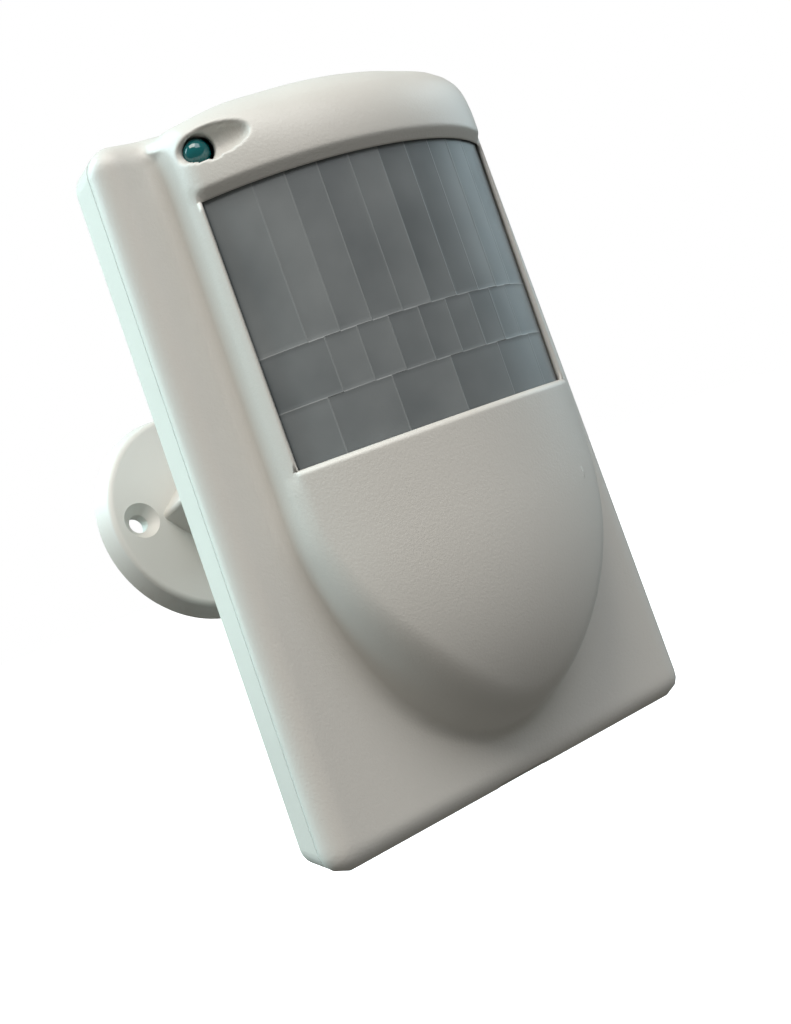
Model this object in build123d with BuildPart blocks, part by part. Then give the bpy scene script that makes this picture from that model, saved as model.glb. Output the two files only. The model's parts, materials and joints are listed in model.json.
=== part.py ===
from build123d import *
import math
import os

os.makedirs("parts", exist_ok=True)

# Frame: X to the viewer's right, +Z up, the lens faces -Y.
# The origin is the centre of the rear cover's flat back, and depths are measured forward from it.

# Housing
height = 120.0
top_width = 72.3
bottom_width = 78.1
corner_radius = 4.1
wall = 2.0
floor_thickness = 2.2
split_depth = 8.3            # where the two covers meet
flange_depth = 13.3          # the front cover's flat border
shoulder_radius = 4.4
body_gap = 0.3               # left between pieces of different bodies
seam = 0.2                   # open joint line between the two covers
lip_inset = 1.2              # the rear cover's locating lip, measured in from the outline
lip_height = 1.4

# Dome: a body turned about an upright axis just behind the back
dome_axis_y = 4.9
dome_radius = 39.2
dome_half_width = 27.6
brow_top = height / 2
brow_depth = 14.0            # radial size of the forehead's elliptical round
bulge_start = -10.0          # below this height the dome falls away as an ellipsoid
bulge_length = 46.0
skirt_length = 53.5          # below the window the side walls close in as half an ellipse

# Window and lens
window_bottom = 2.6
window_top = 46.5
window_half_width = 26.2
lens_radius = 37.7
lens_thickness = 0.6
lens_overlap = 1.6           # hidden margin of the lens above and below the window
lens_gap = 0.2
frame_thickness = 1.6
frame_bar = 3.2

# Indicator in the brow
led_x = -23.6
led_z = 52.5
led_radius = 2.15
led_hole_radius = 2.45
scoop_half_length = 5.6
scoop_half_height = 2.1
scoop_shift = 1.5            # the recess runs further towards the middle than outward

# Ball joint and wall bracket
ball_y = 11.9
ball_z = 13.7
ball_radius = 8.0
neck_radius = 2.8
foot_radius = 9.0
foot_back = 0.5              # how far the foot stands behind the rear cover
foot_sink = 1.5              # how far it is sunk into the rear cover
arm_length = 52.8            # ball centre to the wall plate's front face
pan_set = -12.0              # the way the plate is turned when the part is at rest
tilt_set = -12.0
plate_roll = 7.5
plate_thickness = 5.0
plate_back_radius = 24.3
plate_front_radius = 22.8
plate_screw_offset = 16.5
plate_screw_radius = 2.1
plate_screw_head_radius = 4.0
arm_half_diagonal = 11.8
cup_radius = 10.9
cup_cavity_radius = 9.2
cup_depth = 12.0
nut_radius = 12.5
nut_front = 3.9
nut_back = -8.0
nut_chamfer = 2.4
flute_count = 22

# Circuit board and what it carries
board_back = 8.0             # depth of its rear face
board_thickness = 1.6
board_front = board_back + board_thickness
board_half_width = 29.5
board_bottom = -50.0
board_top = 54.6
board_screws = [(25.0, 44.0), (-25.0, -44.0)]
board_posts = [(-25.0, 40.0), (25.0, -44.0), (25.0, 0.0), (-25.0, 0.0)]
board_screw_radius = 1.3
sensor_z = 24.0
sensor_pins = [(-1.8, -1.8), (1.8, -1.8), (1.8, 1.8)]
terminal_z = -33.0
terminal_count = 6
terminal_pitch = 5.0
terminal_height = 10.0       # how far the block stands off the board
tamper_x = 18.0
tamper_z = -13.0
tamper_height = 6.0
cable_inlet_z = -54.3
cable_inlet_radius = 3.2

pan = math.radians(pan_set)
tilt = math.radians(tilt_set)
into_wall = Vector(math.sin(pan) * math.cos(tilt), math.cos(pan) * math.cos(tilt), math.sin(tilt))
level = into_wall.cross(Vector(0, 0, 1)).normalized()
upright = level.cross(into_wall)
roll = math.radians(plate_roll)
plate_right = level * math.cos(roll) - upright * math.sin(roll)
joint_plane = Plane(origin=(0, ball_y, ball_z), x_dir=plate_right, z_dir=into_wall * -1)
plate_plane = joint_plane.offset(-(arm_length + plate_thickness))

quarter_round = 0.5523       # handle length of a curve that rounds a quarter turn, as a share of it
front = Plane.XZ             # its normal points forward, so offset(d) is a plane at depth d
dome_axis = Axis((0, dome_axis_y, 0), (0, 0, 1))
dome_profile_plane = Plane(origin=(0, dome_axis_y, 0), x_dir=(0, 1, 0), z_dir=(1, 0, 0))


def outline(depth, inset=0.0):
    """The housing's tapered outline, moved inward by inset, at a depth."""
    half_bottom = bottom_width / 2 - inset
    half_top = top_width / 2 - inset
    half_height = height / 2 - inset
    with BuildSketch(front.offset(depth)) as sketch:
        with BuildLine():
            Polyline(
                (-half_bottom, -half_height),
                (half_bottom, -half_height),
                (half_top, half_height),
                (-half_top, half_height),
                close=True,
            )
        make_face()
        fillet(sketch.vertices(), max(corner_radius - inset, 0.8))
    return sketch.sketch


def dome(shrink, half_width):
    """The dome with its surface moved inward by shrink, cut by side walls that close in below the window."""
    radius = dome_radius - shrink
    top = brow_top - shrink
    bottom = bulge_start - bulge_length + shrink
    brow_start = window_top + 0.1
    crown_radius = radius - brow_depth + shrink / 2
    skirt = skirt_length - shrink
    with BuildPart() as body:
        with BuildSketch(dome_profile_plane):
            with BuildLine():
                Line((0, bottom), (0, top))
                Line((0, top), (crown_radius, top))
                Bezier(
                    (crown_radius, top),
                    (crown_radius + quarter_round * (radius - crown_radius), top),
                    (radius, brow_start + quarter_round * (top - brow_start)),
                    (radius, brow_start),
                )
                Line((radius, brow_start), (radius, bulge_start))
                Bezier(
                    (radius, bulge_start),
                    (radius, bulge_start + quarter_round * (bottom - bulge_start)),
                    (quarter_round * radius, bottom),
                    (0, bottom),
                )
            make_face()
        revolve(axis=dome_axis)
        with BuildSketch(front.offset(split_depth)):
            with BuildLine():
                Line((-half_width, window_bottom), (-half_width, height))
                Line((-half_width, height), (half_width, height))
                Line((half_width, height), (half_width, window_bottom))
                for side in (1, -1):
                    Bezier(
                        (side * half_width, window_bottom),
                        (side * half_width, window_bottom - quarter_round * skirt),
                        (side * quarter_round * half_width, window_bottom - skirt),
                        (0, window_bottom - skirt),
                    )
            make_face()
        extrude(amount=60, mode=Mode.INTERSECT)
    return body.part


def ring(inner_radius, outer_radius, low, high, half_width):
    """The forward part of an upright ring about the dome's axis, between two side planes."""
    with BuildPart() as body:
        with BuildSketch(Plane(origin=(0, dome_axis_y, low))):
            Circle(outer_radius)
            Circle(inner_radius, mode=Mode.SUBTRACT)
        extrude(amount=high - low)
        with Locations((0, dome_axis_y - outer_radius, (low + high) / 2)):
            Box(2 * half_width, 1.6 * outer_radius, 2 * height, mode=Mode.INTERSECT)
    return body.part


# ---------------------------------------------------------------- wall bracket

with BuildPart() as wall_plate:
    with BuildSketch(plate_plane):
        Circle(plate_back_radius)
    rim_taper = math.degrees(math.atan((plate_back_radius - plate_front_radius) / plate_thickness))
    extrude(amount=plate_thickness, taper=rim_taper)
    plate_axis = Axis(plate_plane.origin, plate_plane.z_dir)
    fillet(wall_plate.edges().group_by(plate_axis)[-1], 1.4)
    with BuildSketch(plate_plane):
        Circle(plate_back_radius - 2.6)
        Circle(arm_half_diagonal + 1.5, mode=Mode.SUBTRACT)
        with Locations((-plate_screw_offset, 0), (plate_screw_offset, 0)):
            Circle(plate_screw_head_radius + 0.6, mode=Mode.SUBTRACT)
        with PolarLocations(0, 8, start_angle=22.5):
            Rectangle(2 * plate_back_radius, 1.4, mode=Mode.SUBTRACT)
    extrude(amount=2.4, mode=Mode.SUBTRACT)
    with BuildSketch(plate_plane.offset(plate_thickness / 2)) as arm_foot:
        Rectangle(arm_half_diagonal * math.sqrt(2), arm_half_diagonal * math.sqrt(2), rotation=45)
        fillet(arm_foot.vertices(), 1.3)
    extrude(amount=arm_length + plate_thickness / 2 - cup_depth + 2, taper=1.7)
    with BuildSketch(joint_plane.offset(-cup_depth - 4)):
        Circle(cup_radius - 2.6)
    extrude(amount=4.01, taper=-32)
    with BuildSketch(joint_plane.offset(-cup_depth)):
        Circle(cup_radius)
    extrude(amount=cup_depth - 0.4)
    with Locations(joint_plane.location):
        Sphere(cup_cavity_radius, mode=Mode.SUBTRACT)
    with Locations(plate_plane.offset(plate_thickness).location):
        with Locations((-plate_screw_offset, 0), (plate_screw_offset, 0)):
            CounterSinkHole(plate_screw_radius, plate_screw_head_radius, depth=plate_thickness)
wall_plate.part.label = "wall_plate"
export_step(wall_plate.part, "parts/wall_plate.step")

with BuildPart() as clamp_nut:
    with BuildSketch(joint_plane.offset(nut_back)):
        Circle(nut_radius)
        with PolarLocations(nut_radius + 0.5, flute_count):
            Circle(1.1, mode=Mode.SUBTRACT)
    extrude(amount=nut_front - nut_back - nut_chamfer)
    with BuildSketch(joint_plane.offset(nut_front - nut_chamfer)):
        Circle(nut_radius - 0.6)
    extrude(amount=nut_chamfer, taper=40)
    with BuildSketch(joint_plane.offset(nut_back)):
        Circle(cup_radius + 0.1)
    extrude(amount=-nut_back - 0.3, mode=Mode.SUBTRACT)
    with Locations(joint_plane.location):
        Sphere(ball_radius + body_gap, mode=Mode.SUBTRACT)
clamp_nut.part.label = "clamp_nut"
export_step(clamp_nut.part, "parts/clamp_nut.step")

with BuildPart() as friction_pad:
    with Locations(joint_plane.location):
        Sphere(cup_cavity_radius - 0.25)
        Sphere(ball_radius + 0.25, mode=Mode.SUBTRACT)
    with BuildSketch(joint_plane.offset(-ball_radius - 2)):
        Circle(6.2)
    extrude(amount=7, mode=Mode.INTERSECT)
friction_pad.part.label = "friction_pad"
export_step(friction_pad.part, "parts/friction_pad.step")

stud_end = 4.7               # depth of the stud's front end, inside the rear cover
with BuildPart() as ball_stud:
    with Locations((0, ball_y, ball_z)):
        Sphere(ball_radius)
    with BuildSketch(front.offset(-ball_y)):
        with Locations((0, ball_z)):
            Circle(neck_radius)
    extrude(amount=ball_y + stud_end)
    with BuildSketch(front.offset(-foot_back)):
        with Locations((0, ball_z)):
            Circle(foot_radius)
    extrude(amount=foot_back + foot_sink)
    with BuildSketch(front.offset(stud_end)):
        with Locations((0, ball_z)):
            Circle(1.5)
    extrude(amount=-7.0, mode=Mode.SUBTRACT)
ball_stud.part.label = "ball_stud"
export_step(ball_stud.part, "parts/ball_stud.step")

washer_thickness = 0.8
with BuildPart() as stud_washer:
    with BuildSketch(front.offset(stud_end + 0.1)):
        with Locations((0, ball_z)):
            Circle(6.4)
            Circle(1.7, mode=Mode.SUBTRACT)
    extrude(amount=washer_thickness)
    chamfer(stud_washer.edges().group_by(Axis.Y)[0], 0.15)
stud_washer.part.label = "stud_washer"
export_step(stud_washer.part, "parts/stud_washer.step")

with BuildPart() as stud_screw:
    head_depth = stud_end + 0.1 + washer_thickness
    with BuildSketch(front.offset(head_depth - 7.0)):
        with Locations((0, ball_z)):
            Circle(1.45)
    extrude(amount=7.0)
    with BuildSketch(front.offset(head_depth)):
        with Locations((0, ball_z)):
            Circle(2.9)
    extrude(amount=1.7)
    fillet(stud_screw.edges().group_by(Axis.Y)[0], 0.7)
    with BuildSketch(front.offset(head_depth + 1.7)):
        with Locations((0, ball_z)):
            Rectangle(3.2, 0.6)
            Rectangle(0.6, 3.2)
    extrude(amount=-1.1, mode=Mode.SUBTRACT)
stud_screw.part.label = "stud_screw"
export_step(stud_screw.part, "parts/stud_screw.step")

# ---------------------------------------------------------------- rear cover

boss_depth = 4.5
with BuildPart() as rear_cover:
    extrude(outline(0), amount=split_depth - seam)
    fillet(rear_cover.edges().group_by(Axis.Y)[-1], 0.8)
    extrude(outline(floor_thickness, wall), amount=split_depth, mode=Mode.SUBTRACT)
    # locating lip round the open edge
    extrude(outline(split_depth - 1.0, lip_inset), amount=1.0 + lip_height)
    extrude(outline(split_depth - 2.0, wall), amount=2.0 + lip_height, mode=Mode.SUBTRACT)
    # boss for the ball stud, and posts for the circuit board
    with BuildSketch(front.offset(floor_thickness - 1.0)):
        with Locations((0, ball_z)):
            Circle(foot_radius + 2.6)
    extrude(amount=boss_depth - floor_thickness + 1.0)
    with BuildSketch(front.offset(floor_thickness - 0.5)):
        with Locations(*board_screws):
            Circle(3.2)
        with Locations(*board_posts):
            Circle(2.0)
    extrude(amount=board_back - floor_thickness + 0.5)
    with BuildSketch(front.offset(board_back)):
        with Locations(*board_screws):
            Circle(board_screw_radius)
    extrude(amount=-5.0, mode=Mode.SUBTRACT)
    # stiffening ribs
    with BuildSketch(front.offset(floor_thickness - 0.5)):
        with Locations((0, 34), (0, -16), (0, -36)):
            Rectangle(60, 1.2)
        with Locations((-14, -26), (14, -26), (-14, 40), (14, 40)):
            Rectangle(1.2, 18)
    extrude(amount=2.3)
    # latch tongue at the bottom
    with Locations((0, -split_depth - 0.2, -height / 2 + 0.95)):
        Box(10, 3.6, 1.3)
    # recess and bore for the ball stud, cable inlet, knock-outs
    with BuildSketch(front):
        with Locations((0, ball_z)):
            Circle(foot_radius + body_gap)
    extrude(amount=foot_sink + body_gap, mode=Mode.SUBTRACT)
    with BuildSketch(front):
        with Locations((0, ball_z)):
            Circle(neck_radius + body_gap)
        with Locations((0, cable_inlet_z)):
            Circle(cable_inlet_radius)
    extrude(amount=boss_depth + 1, mode=Mode.SUBTRACT)
    with BuildSketch(front):
        with Locations((-22, 30), (22, 30), (-22, -34), (22, -34)):
            Circle(3.0)
            Circle(2.3, mode=Mode.SUBTRACT)
    extrude(amount=1.0, mode=Mode.SUBTRACT)
rear_cover.part.label = "rear_cover"
export_step(rear_cover.part, "parts/rear_cover.step")

# ---------------------------------------------------------------- front cover

lens_low = window_bottom - lens_overlap
lens_high = window_top + lens_overlap
pocket_radius = lens_radius + lens_gap
frame_outer = lens_radius - lens_thickness - 0.1
frame_inner = frame_outer - frame_thickness
post_radius = 1.6
tamper_top = board_front + tamper_height + 1.4   # depth of the plunger's tip

# the indicator sits in an almond-shaped recess that follows the brow round
brow_radius = dome_radius - 1.2
led_angle = math.asin(-led_x / brow_radius)
led_surface_y = dome_axis_y - brow_radius * math.cos(led_angle)
scoop_along = Vector(math.cos(led_angle), -math.sin(led_angle), 0)
scoop_centre = Vector(led_x, led_surface_y, led_z) + scoop_along * scoop_shift
with BuildPart() as scoop:
    with BuildSketch(Plane(origin=scoop_centre, x_dir=scoop_along, z_dir=(0, 0, 1))):
        with BuildLine():
            EllipticalCenterArc((0, 0), scoop_half_length, scoop_half_height, 0, arc_size=180)
            Line((-scoop_half_length, 0), (scoop_half_length, 0))
        make_face()
    revolve(axis=Axis(scoop_centre, scoop_along))

with BuildPart() as front_cover:
    extrude(outline(split_depth), amount=flange_depth - split_depth)
    fillet(front_cover.edges().group_by(Axis.Y)[0], shoulder_radius)
    add(dome(0, dome_half_width))
    extrude(outline(split_depth, wall), amount=flange_depth - wall - split_depth, mode=Mode.SUBTRACT)
    extrude(outline(split_depth, lip_inset - body_gap), amount=lip_height + 0.2, mode=Mode.SUBTRACT)
    add(dome(wall, dome_half_width - wall), mode=Mode.SUBTRACT)
    # pocket for the lens and its frame, then the window itself
    add(ring(20, pocket_radius, lens_low, lens_high, window_half_width), mode=Mode.SUBTRACT)
    add(ring(20, dome_radius + 3, window_bottom, window_top, window_half_width), mode=Mode.SUBTRACT)
    add(ring(lens_radius, dome_radius + 3, window_bottom, window_top, dome_half_width + 1), mode=Mode.SUBTRACT)
    # post that holds the tamper plunger down
    with BuildSketch(front.offset(tamper_top + body_gap)):
        with Locations((tamper_x, tamper_z)):
            Circle(post_radius)
    extrude(amount=dome_radius - dome_axis_y - tamper_top - 6.5)
    # latch notch
    with Locations((0, -split_depth - 1.0, -height / 2 + 1)):
        Box(10.6, 5.2, 4.4, mode=Mode.SUBTRACT)
    # recess and hole for the indicator
    add(scoop.part, mode=Mode.SUBTRACT)
    with BuildSketch(front.offset(split_depth)):
        with Locations((led_x, led_z)):
            Circle(led_hole_radius)
    extrude(amount=40, mode=Mode.SUBTRACT)
front_cover.part.label = "front_cover"
export_step(front_cover.part, "parts/front_cover.step")

with BuildPart() as fresnel_lens:
    add(ring(lens_radius - lens_thickness, lens_radius, lens_low + 0.1, lens_high - 0.1, window_half_width - lens_gap))
fresnel_lens.part.label = "fresnel_lens"
export_step(fresnel_lens.part, "parts/fresnel_lens.step")

with BuildPart() as lens_frame:
    frame_half = window_half_width - 0.7
    add(ring(frame_inner, frame_outer, lens_low + 0.2, lens_high - 0.2, frame_half))
    add(
        ring(frame_inner - 1, frame_outer + 1, lens_low + frame_bar, lens_high - frame_bar, frame_half - frame_bar),
        mode=Mode.SUBTRACT,
    )
lens_frame.part.label = "lens_frame"
export_step(lens_frame.part, "parts/lens_frame.step")

led_dome_depth = -led_surface_y + 0.4
led_rear = board_front + 4.4
with BuildPart() as status_lens:
    with BuildSketch(front.offset(led_rear)):
        with Locations((led_x, led_z)):
            Circle(led_radius)
    extrude(amount=led_dome_depth - led_rear - led_radius * 0.6)
    fillet(status_lens.edges().group_by(Axis.Y)[0], led_radius * 0.7)
    # tab that stops the light pipe from being pushed out, short of the dome's side wall
    with BuildSketch(front.offset(led_rear)):
        with Locations((led_x + 0.8, led_z)):
            Rectangle(2 * led_radius + 0.6, 2 * led_radius + 1.8)
    extrude(amount=1.0)
status_lens.part.label = "status_lens"
export_step(status_lens.part, "parts/status_lens.step")

# ---------------------------------------------------------------- circuit board

with BuildPart() as circuit_board:
    with BuildSketch(front.offset(board_back)) as board_shape:
        with Locations((0, (board_top + board_bottom) / 2)):
            Rectangle(2 * board_half_width, board_top - board_bottom)
        fillet(board_shape.vertices(), 2.0)
        with Locations(*board_screws):
            Circle(board_screw_radius + 0.2, mode=Mode.SUBTRACT)
        with Locations((0, sensor_z)):
            with Locations(*sensor_pins):
                Circle(0.45, mode=Mode.SUBTRACT)
        with Locations((0, board_bottom)):
            SlotOverall(14, 5, mode=Mode.SUBTRACT)
    extrude(amount=board_thickness)
circuit_board.part.label = "circuit_board"
export_step(circuit_board.part, "parts/circuit_board.step")

with BuildPart() as board_fixings:
    with BuildSketch(front.offset(board_back - 4.5)):
        with Locations(*board_screws):
            Circle(board_screw_radius - 0.05)
    extrude(amount=board_thickness + 4.5)
    with BuildSketch(front.offset(board_front)):
        with Locations(*board_screws):
            Circle(2.5)
    extrude(amount=1.2)
    fillet(board_fixings.edges().group_by(Axis.Y)[0], 0.4)
    with BuildSketch(front.offset(board_front + 1.2)):
        with Locations(*board_screws):
            Rectangle(2.8, 0.5)
            Rectangle(0.5, 2.8)
    extrude(amount=-0.7, mode=Mode.SUBTRACT)
board_fixings.part.label = "board_screws"
export_step(board_fixings.part, "parts/board_screws.step")

spacer_thickness = 1.5
can_base = board_front + spacer_thickness
with BuildPart() as sensor_spacer:
    with BuildSketch(front.offset(board_front)):
        with Locations((0, sensor_z)):
            Circle(5.2)
            with Locations(*sensor_pins):
                Circle(0.45, mode=Mode.SUBTRACT)
    extrude(amount=spacer_thickness)
sensor_spacer.part.label = "sensor_spacer"
export_step(sensor_spacer.part, "parts/sensor_spacer.step")

can_height = 4.2
with BuildPart() as pyro_sensor_can:
    with BuildSketch(front.offset(can_base)):
        with Locations((0, sensor_z)):
            Circle(4.6)
    extrude(amount=0.5)
    with BuildSketch(front.offset(can_base + 0.4)):
        with Locations((0, sensor_z)):
            Circle(4.1)
    extrude(amount=can_height - 0.4)
    fillet(pyro_sensor_can.edges().group_by(Axis.Y)[0], 0.5)
    with BuildSketch(front.offset(can_base + can_height)):
        with Locations((0, sensor_z)):
            Rectangle(4.4, 3.4)
    extrude(amount=-0.6, mode=Mode.SUBTRACT)
pyro_sensor_can.part.label = "pyro_sensor_can"
export_step(pyro_sensor_can.part, "parts/pyro_sensor_can.step")

with BuildPart() as pyro_sensor_window:
    with BuildSketch(front.offset(can_base + can_height - 0.6)):
        with Locations((0, sensor_z)):
            Rectangle(4.4, 3.4)
    extrude(amount=0.5)
pyro_sensor_window.part.label = "pyro_sensor_window"
export_step(pyro_sensor_window.part, "parts/pyro_sensor_window.step")

with BuildPart() as pyro_sensor_pins:
    with BuildSketch(front.offset(board_back - 1.2)):
        with Locations((0, sensor_z)):
            with Locations(*sensor_pins):
                Circle(0.23)
    extrude(amount=can_base - board_back + 1.2)
pyro_sensor_pins.part.label = "pyro_sensor_pins"
export_step(pyro_sensor_pins.part, "parts/pyro_sensor_pins.step")

with BuildPart() as status_led:
    with BuildSketch(front.offset(board_front)):
        with Locations((led_x, led_z)):
            Circle(1.5)
    extrude(amount=3.0)
    fillet(status_led.edges().group_by(Axis.Y)[0], 1.3)
    with BuildSketch(front.offset(board_front)):
        with Locations((led_x, led_z)):
            Circle(1.8)
    extrude(amount=0.8)
status_led.part.label = "status_led"
export_step(status_led.part, "parts/status_led.step")


def chip(x, z, length, width, thickness, leads_per_side, pitch):
    """A small-outline chip on the board, with its legs along both long sides."""
    with BuildPart() as body:
        with BuildSketch(front.offset(board_front + 0.1)):
            with Locations((x, z)):
                Rectangle(width, length)
        extrude(amount=thickness)
        chamfer(body.edges().group_by(Axis.Y)[0], 0.2)
        with BuildSketch(front.offset(board_front)):
            with Locations((x, z)):
                with GridLocations(width + 0.8, pitch, 2, leads_per_side):
                    Rectangle(1.4, 0.42)
        extrude(amount=0.5)
    return body.part


with BuildPart() as processor_chip:
    add(chip(-13, -6, 11.0, 6.2, 2.0, 8, 1.27))
processor_chip.part.label = "processor_chip"
export_step(processor_chip.part, "parts/processor_chip.step")

with BuildPart() as amplifier_chip:
    add(chip(-12, 24, 8.7, 3.9, 1.5, 6, 1.27))
amplifier_chip.part.label = "amplifier_chip"
export_step(amplifier_chip.part, "parts/amplifier_chip.step")

with BuildPart() as voltage_regulator:
    add(chip(8, -18.5, 4.9, 3.9, 1.5, 3, 1.27))
voltage_regulator.part.label = "voltage_regulator"
export_step(voltage_regulator.part, "parts/voltage_regulator.step")

capacitor_spots = [(12.5, 32.0), (12.5, 22.0), (2.0, -8.0)]
with BuildPart() as capacitors:
    with BuildSketch(front.offset(board_front)):
        with Locations(*capacitor_spots):
            Circle(3.15)
    extrude(amount=7.5)
    fillet(capacitors.edges().group_by(Axis.Y)[0], 0.5)
    with BuildSketch(front.offset(board_front + 7.5)):
        with Locations(*capacitor_spots):
            Rectangle(4.6, 0.3)
            Rectangle(0.3, 4.6)
    extrude(amount=-0.2, mode=Mode.SUBTRACT)
capacitors.part.label = "capacitors"
export_step(capacitors.part, "parts/capacitors.step")

resistor_spots = [(-12, 36), (-8, 36), (-4, 36), (0, 36), (-12, 12), (-8, 12), (5, 2), (9, 2), (13, 2), (-4, -19)]
with BuildPart() as chip_resistors:
    with BuildSketch(front.offset(board_front)):
        with Locations(*resistor_spots):
            Rectangle(1.3, 2.0)
    extrude(amount=0.6)
chip_resistors.part.label = "chip_resistors"
export_step(chip_resistors.part, "parts/chip_resistors.step")

with BuildPart() as alarm_relay:
    with BuildSketch(front.offset(board_front)):
        with Locations((12.5, 10.5)):
            Rectangle(15.0, 7.4)
    extrude(amount=7.0)
    fillet(alarm_relay.edges().filter_by(Axis.Y), 0.6)
    chamfer(alarm_relay.faces().sort_by(Axis.Y)[0].edges(), 0.4)
alarm_relay.part.label = "alarm_relay"
export_step(alarm_relay.part, "parts/alarm_relay.step")

jumper_x = -16.0
jumper_z = -22.0
jumper_pitch = 2.54
with BuildPart() as jumper_pins:
    with BuildSketch(front.offset(board_front)):
        with Locations((jumper_x, jumper_z)):
            Rectangle(4 * jumper_pitch, 2 * jumper_pitch)
    extrude(amount=2.5)
    with BuildSketch(front.offset(board_front + 2.4)):
        with Locations((jumper_x, jumper_z)):
            with GridLocations(jumper_pitch, jumper_pitch, 4, 2):
                Rectangle(0.64, 0.64)
    extrude(amount=5.6)
jumper_pins.part.label = "jumper_pins"
export_step(jumper_pins.part, "parts/jumper_pins.step")

with BuildPart() as jumper_caps:
    with BuildSketch(front.offset(board_front + 2.6)):
        with Locations((jumper_x - 1.5 * jumper_pitch, jumper_z), (jumper_x + 0.5 * jumper_pitch, jumper_z)):
            Rectangle(2.2, 2 * jumper_pitch - 0.1)
    extrude(amount=6.0)
    fillet(jumper_caps.edges().group_by(Axis.Y)[0], 0.3)
    with BuildSketch(front.offset(board_front + 2.6)):
        with Locations((jumper_x, jumper_z)):
            with GridLocations(jumper_pitch, jumper_pitch, 4, 2):
                Rectangle(0.8, 0.8)
    extrude(amount=5.6, mode=Mode.SUBTRACT)
jumper_caps.part.label = "jumper_caps"
export_step(jumper_caps.part, "parts/jumper_caps.step")

# ---------------------------------------------------------------- terminals and tamper switch

block_depth = 9.0            # the block's size up and down the board
entry_size = 3.4
with BuildPart() as terminal_block:
    with BuildSketch(front.offset(board_front)):
        with Locations((0, terminal_z)):
            Rectangle(terminal_count * terminal_pitch, block_depth)
    extrude(amount=terminal_height)
    chamfer(terminal_block.faces().sort_by(Axis.Y)[0].edges().filter_by(Axis.X), 1.2)
    with BuildSketch(front.offset(board_front + terminal_height)):
        with Locations((0, terminal_z)):
            with GridLocations(terminal_pitch, 1, terminal_count, 1):
                Circle(1.9)
    extrude(amount=-3.6, mode=Mode.SUBTRACT)
    with BuildSketch(Plane.XY.offset(terminal_z - block_depth / 2)):
        with Locations((0, -board_front - 4.0)):
            with GridLocations(terminal_pitch, 1, terminal_count, 1):
                Rectangle(entry_size, entry_size)
    extrude(amount=7.0, mode=Mode.SUBTRACT)
terminal_block.part.label = "terminal_block"
export_step(terminal_block.part, "parts/terminal_block.step")

with BuildPart() as terminal_clamps:
    with BuildSketch(Plane.XY.offset(terminal_z - block_depth / 2 + 1.5)):
        with Locations((0, -board_front - 4.0)):
            with GridLocations(terminal_pitch, 1, terminal_count, 1):
                Rectangle(entry_size - 0.1, entry_size - 0.1)
                Rectangle(entry_size - 1.2, entry_size - 1.2, mode=Mode.SUBTRACT)
    extrude(amount=5.0)
terminal_clamps.part.label = "terminal_clamps"
export_step(terminal_clamps.part, "parts/terminal_clamps.step")

with BuildPart() as terminal_screws:
    with BuildSketch(front.offset(board_front + terminal_height - 3.5)):
        with Locations((0, terminal_z)):
            with GridLocations(terminal_pitch, 1, terminal_count, 1):
                Circle(1.75)
    extrude(amount=2.0)
    with BuildSketch(front.offset(board_front + terminal_height - 1.5)):
        with Locations((0, terminal_z)):
            with GridLocations(terminal_pitch, 1, terminal_count, 1):
                Rectangle(3.2, 0.6, rotation=20)
    extrude(amount=-0.9, mode=Mode.SUBTRACT)
terminal_screws.part.label = "terminal_screws"
export_step(terminal_screws.part, "parts/terminal_screws.step")

plunger_radius = 1.2
with BuildPart() as tamper_switch:
    with BuildSketch(front.offset(board_front)):
        with Locations((tamper_x, tamper_z)):
            Rectangle(6.4, 6.4)
    extrude(amount=tamper_height)
    chamfer(tamper_switch.faces().sort_by(Axis.Y)[0].edges(), 0.3)
    with BuildSketch(front.offset(board_front + tamper_height)):
        with Locations((tamper_x, tamper_z)):
            Circle(plunger_radius + 0.3)
    extrude(amount=-5.0, mode=Mode.SUBTRACT)
tamper_switch.part.label = "tamper_switch"
export_step(tamper_switch.part, "parts/tamper_switch.step")

with BuildPart() as tamper_plunger:
    with BuildSketch(front.offset(board_front + tamper_height - 3.0)):
        with Locations((tamper_x, tamper_z)):
            Circle(plunger_radius)
    extrude(amount=tamper_top - board_front - tamper_height + 3.0)
    fillet(tamper_plunger.edges().group_by(Axis.Y)[0], 0.4)
tamper_plunger.part.label = "tamper_plunger"
export_step(tamper_plunger.part, "parts/tamper_plunger.step")
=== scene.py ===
import json
import math

import bmesh
import bpy
import numpy as np
from mathutils import Matrix, Vector


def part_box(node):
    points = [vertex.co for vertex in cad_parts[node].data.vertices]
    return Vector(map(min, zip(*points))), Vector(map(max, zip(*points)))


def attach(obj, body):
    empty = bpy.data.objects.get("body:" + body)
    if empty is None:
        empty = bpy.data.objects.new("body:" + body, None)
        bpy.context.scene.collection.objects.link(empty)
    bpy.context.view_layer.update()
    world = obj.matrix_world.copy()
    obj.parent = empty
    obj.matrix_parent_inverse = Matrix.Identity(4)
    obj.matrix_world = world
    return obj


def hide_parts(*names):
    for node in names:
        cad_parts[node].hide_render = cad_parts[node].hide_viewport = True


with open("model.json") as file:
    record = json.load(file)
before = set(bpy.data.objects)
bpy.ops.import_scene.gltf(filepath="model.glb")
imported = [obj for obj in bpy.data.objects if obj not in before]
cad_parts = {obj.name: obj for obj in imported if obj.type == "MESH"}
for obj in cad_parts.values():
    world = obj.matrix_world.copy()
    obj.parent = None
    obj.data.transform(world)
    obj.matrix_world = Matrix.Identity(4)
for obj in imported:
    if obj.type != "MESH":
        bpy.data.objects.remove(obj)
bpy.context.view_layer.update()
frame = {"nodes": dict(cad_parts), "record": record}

MM = 0.001

# ------------------------------------------------------------------ housing sizes, in millimetres
# Depth is measured forward from the flat back of the rear cover, so y = -depth.

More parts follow.
